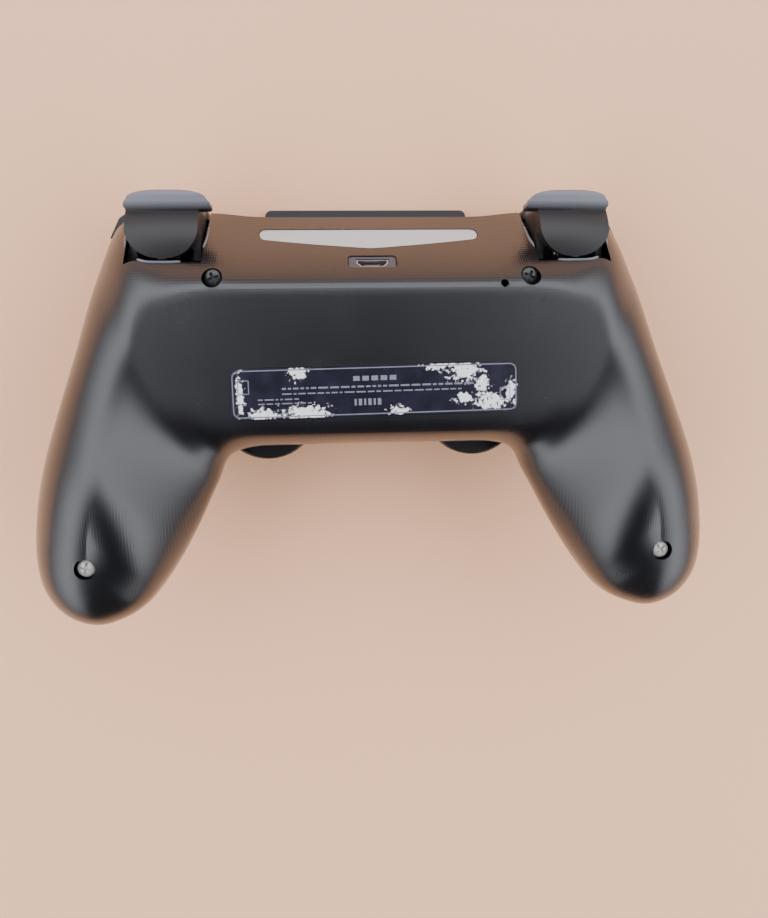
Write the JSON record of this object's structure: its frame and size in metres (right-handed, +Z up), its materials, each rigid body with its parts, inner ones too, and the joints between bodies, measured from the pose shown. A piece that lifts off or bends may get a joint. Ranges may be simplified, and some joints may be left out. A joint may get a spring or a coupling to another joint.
{
  "type": "wireless gamepad",
  "caption": "Two-handed wireless game controller with thumbsticks, triggers, touchpad and light bar, lying face down.",
  "frame": {"origin": "centre of the bounding box on the table under the controller, which lies face down on its thumbsticks and buttons", "axes": "+Z up out of the back cover; +Y from the grips to the light bar; +X towards the side of the left hand"},
  "size_m": [0.1602, 0.0982, 0.057],
  "materials": {
    "shell_plastic": "satin, fine square grain",
    "trigger_plastic": "satin",
    "face_plastic": "satin",
    "stick_rubber": "matte",
    "light_diffuser": "milky satin",
    "label_film": "printed film",
    "plated_steel": "plain",
    "inner_plastic": "moulded",
    "board_laminate": "solder mask",
    "battery_film": "wrapped",
    "wire_insulation": "plain"
  },
  "bodies": {
    "case": {"back_shell": "shell_plastic", "front_shell": "shell_plastic", "mid_frame": "inner_plastic", "battery": "battery_film", "battery_lead": "wire_insulation", "main_board": "board_laminate", "board_screw": "plated_steel", "port_board": "board_laminate", "port_cable": "wire_insulation", "usb_port": "plated_steel", "usb_bezel": "inner_plastic", "light_bar": "light_diffuser", "expansion_port": "inner_plastic", "headset_jack": "inner_plastic", "speaker": "inner_plastic", "reset_switch": "inner_plastic", "rating_label": "label_film", "shell_screws": "plated_steel", "touchpad_switch": "inner_plastic", "dpad_base": "inner_plastic", "button_base": "inner_plastic", "left_stick_module": "inner_plastic", "right_stick_module": "inner_plastic", "left_trigger_spring": "plated_steel", "left_bracket": "inner_plastic", "right_trigger_spring": "plated_steel", "right_bracket": "inner_plastic", "left_motor": "plated_steel", "right_motor": "plated_steel"},
    "reset_plunger": {"reset_plunger": "face_plastic"},
    "touchpad": {"touchpad": "face_plastic"},
    "dpad_pivot": {"dpad_pivot": "plated_steel"},
    "dpad": {"dpad": "face_plastic"},
    "action_button_far": {"action_button_far": "face_plastic"},
    "action_button_near": {"action_button_near": "face_plastic"},
    "action_button_outer": {"action_button_outer": "face_plastic"},
    "action_button_inner": {"action_button_inner": "face_plastic"},
    "left_menu_button": {"left_menu_button": "face_plastic"},
    "right_menu_button": {"right_menu_button": "face_plastic"},
    "home_button": {"home_button": "face_plastic"},
    "left_stick_cradle": {"left_stick_cradle": "inner_plastic"},
    "left_stick_yoke": {"left_stick_yoke": "plated_steel"},
    "left_stick": {"left_stick": "stick_rubber"},
    "left_trigger": {"left_trigger": "trigger_plastic"},
    "left_bumper": {"left_bumper": "trigger_plastic"},
    "left_motor_weight": {"left_motor_weight": "plated_steel"},
    "right_stick_cradle": {"right_stick_cradle": "inner_plastic"},
    "right_stick_yoke": {"right_stick_yoke": "plated_steel"},
    "right_stick": {"right_stick": "stick_rubber"},
    "right_trigger": {"right_trigger": "trigger_plastic"},
    "right_bumper": {"right_bumper": "trigger_plastic"},
    "right_motor_weight": {"right_motor_weight": "plated_steel"}
  },
  "joints": [
    {"name": "reset_press", "type": "slide", "parent": "case", "child": "reset_plunger", "axis": [0, -0.2169, -0.9762], "range_m": [0, 0.0003], "stiffness_N_per_m": 1500},
    {"name": "touchpad_click", "type": "hinge", "parent": "case", "child": "touchpad", "pos_m": [0, 0.0199, 0.00551], "axis": [1, 0, 0], "range_deg": [0, 1.2], "stiffness_Nm_per_rad": 6},
    {"name": "dpad_pitch", "type": "hinge", "parent": "case", "child": "dpad_pivot", "pos_m": [0.0488, 0.01946, 0.01278], "axis": [1, 0, 0], "range_deg": [-4, 4], "stiffness_Nm_per_rad": 0.6},
    {"name": "dpad_roll", "type": "hinge", "parent": "dpad_pivot", "child": "dpad", "pos_m": [0.0488, 0.01946, 0.01278], "axis": [0, 0.9762, -0.2169], "range_deg": [-4, 4], "stiffness_Nm_per_rad": 0.6},
    {"name": "action_button_far_press", "type": "slide", "parent": "case", "child": "action_button_far", "axis": [0, 0.2169, 0.9762], "range_m": [0, 0.0011], "stiffness_N_per_m": 1200},
    {"name": "action_button_near_press", "type": "slide", "parent": "case", "child": "action_button_near", "axis": [0, 0.2169, 0.9762], "range_m": [0, 0.0011], "stiffness_N_per_m": 1200},
    {"name": "action_button_outer_press", "type": "slide", "parent": "case", "child": "action_button_outer", "axis": [0, 0.2169, 0.9762], "range_m": [0, 0.0011], "stiffness_N_per_m": 1200},
    {"name": "action_button_inner_press", "type": "slide", "parent": "case", "child": "action_button_inner", "axis": [0, 0.2169, 0.9762], "range_m": [0, 0.0011], "stiffness_N_per_m": 1200},
    {"name": "left_menu_button_press", "type": "slide", "parent": "case", "child": "left_menu_button", "axis": [0, 0.2169, 0.9762], "range_m": [0, 0.0011], "stiffness_N_per_m": 1200},
    {"name": "right_menu_button_press", "type": "slide", "parent": "case", "child": "right_menu_button", "axis": [0, 0.2169, 0.9762], "range_m": [0, 0.0011], "stiffness_N_per_m": 1200},
    {"name": "home_button_press", "type": "slide", "parent": "case", "child": "home_button", "axis": [0, 0.2169, 0.9762], "range_m": [0, 0.0011], "stiffness_N_per_m": 1200},
    {"name": "left_stick_click", "type": "slide", "parent": "case", "child": "left_stick_cradle", "axis": [0, 0.2169, 0.9762], "range_m": [0, 0.0005], "stiffness_N_per_m": 6000},
    {"name": "left_stick_side", "type": "hinge", "parent": "left_stick_cradle", "child": "left_stick_yoke", "pos_m": [0.0264, -0.00425, 0.01856], "axis": [0, 0.9762, -0.2169], "range_deg": [-15, 15], "stiffness_Nm_per_rad": 0.12},
    {"name": "left_stick_fore", "type": "hinge", "parent": "left_stick_yoke", "child": "left_stick", "pos_m": [0.0264, -0.00425, 0.01856], "axis": [1, 0, 0], "range_deg": [-15, 15], "stiffness_Nm_per_rad": 0.12},
    {"name": "left_trigger_pull", "type": "hinge", "parent": "case", "child": "left_trigger", "pos_m": [0.0479, 0.03386, 0.01532], "axis": [1, 0, 0], "range_deg": [0, 12], "stiffness_Nm_per_rad": 0.35},
    {"name": "left_bumper_press", "type": "hinge", "parent": "case", "child": "left_bumper", "pos_m": [0.0423, 0.03873, 0.00542], "axis": [0, -0.2169, -0.9762], "range_deg": [0, 3], "stiffness_Nm_per_rad": 3},
    {"name": "left_rumble_spin", "type": "hinge", "parent": "case", "child": "left_motor_weight", "pos_m": [0.06, -0.00479, 0.03456], "axis": [0, 0.9762, -0.2169], "continuous": true},
    {"name": "right_stick_click", "type": "slide", "parent": "case", "child": "right_stick_cradle", "axis": [0, 0.2169, 0.9762], "range_m": [0, 0.0005], "stiffness_N_per_m": 6000},
    {"name": "right_stick_side", "type": "hinge", "parent": "right_stick_cradle", "child": "right_stick_yoke", "pos_m": [-0.0264, -0.00425, 0.01856], "axis": [0, 0.9762, -0.2169], "range_deg": [-15, 15], "stiffness_Nm_per_rad": 0.12},
    {"name": "right_stick_fore", "type": "hinge", "parent": "right_stick_yoke", "child": "right_stick", "pos_m": [-0.0264, -0.00425, 0.01856], "axis": [1, 0, 0], "range_deg": [-15, 15], "stiffness_Nm_per_rad": 0.12},
    {"name": "right_trigger_pull", "type": "hinge", "parent": "case", "child": "right_trigger", "pos_m": [-0.0479, 0.03386, 0.01532], "axis": [1, 0, 0], "range_deg": [0, 12], "stiffness_Nm_per_rad": 0.35},
    {"name": "right_bumper_press", "type": "hinge", "parent": "case", "child": "right_bumper", "pos_m": [-0.0423, 0.03873, 0.00542], "axis": [0, 0.2169, 0.9762], "range_deg": [0, 3], "stiffness_Nm_per_rad": 3},
    {"name": "right_rumble_spin", "type": "hinge", "parent": "case", "child": "right_motor_weight", "pos_m": [-0.06, -0.00479, 0.03456], "axis": [0, 0.9762, -0.2169], "continuous": true}
  ]
}
